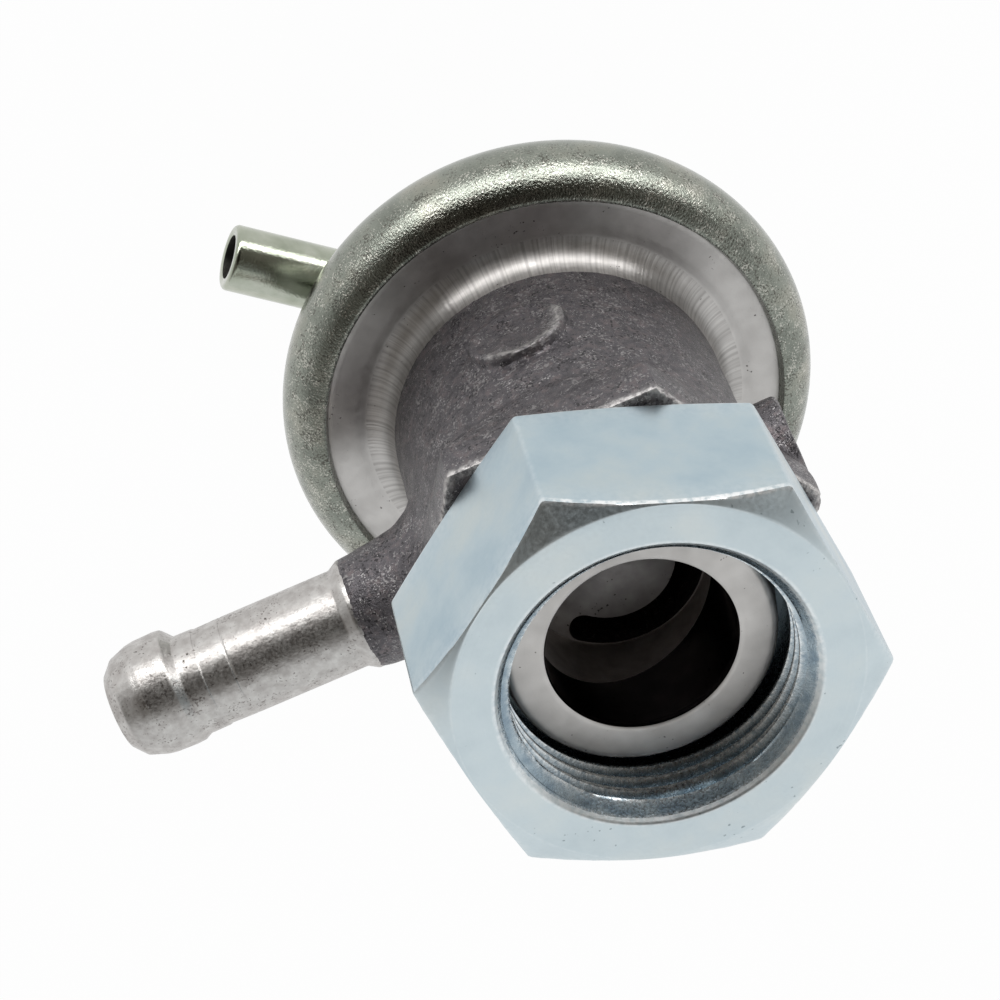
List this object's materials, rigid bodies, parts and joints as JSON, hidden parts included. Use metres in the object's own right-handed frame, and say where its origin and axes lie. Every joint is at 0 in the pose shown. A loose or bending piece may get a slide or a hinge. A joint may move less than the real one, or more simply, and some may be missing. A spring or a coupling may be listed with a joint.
{
  "type": "fuel pressure regulator",
  "caption": "Cast aluminium fuel pressure regulator with hexagonal union nut, beaded return spigot, crimped plated spring cover and side vacuum pipe",
  "frame": {"origin": "centre of the spring cover's flat end, which the regulator stands on", "axes": "+Z along the main axis from the spring cover to the union nut, -X along the return spigot, +Y the side with the round cast pad"},
  "size_m": [0.0657, 0.0466, 0.0687],
  "materials": {
    "cast_aluminium": "die cast skin with machined flange, neck and spigot",
    "blue_zinc_steel": "turned, blue zinc plating",
    "yellow_zinc_steel": "deep drawn, faded yellow zinc plating",
    "spring_steel": "drawn wire",
    "bright_steel": "ground",
    "plated_plate": "pressed and zinc plated",
    "valve_brass": "turned",
    "diaphragm_rubber": "fabric reinforced"
  },
  "bodies": {
    "housing": {"body": "cast_aluminium", "valve_seat": "bright_steel", "nut_retaining_ring": "spring_steel", "spring_cover": "yellow_zinc_steel", "vacuum_pipe": "yellow_zinc_steel", "diaphragm": "diaphragm_rubber", "main_spring": "spring_steel", "spring_rest": "plated_plate"},
    "nut": {"union_nut": "blue_zinc_steel"},
    "valve_group": {"fuel_side_washer": "plated_plate", "spring_cup": "plated_plate", "valve_holder": "valve_brass", "valve_ball": "bright_steel", "ball_retainer": "bright_steel", "ball_spring": "spring_steel"}
  },
  "joints": [
    {"name": "nut_spin", "type": "hinge", "parent": "housing", "child": "nut", "pos_m": [0, 0, 0.062], "axis": [0, 0, 1], "continuous": true},
    {"name": "valve_lift", "type": "slide", "parent": "housing", "child": "valve_group", "axis": [0, 0, -1], "range_m": [0, 0.0005], "stiffness_N_per_m": 400, "springref_m": -0.001, "deforming": ["main_spring", "diaphragm"]}
  ]
}
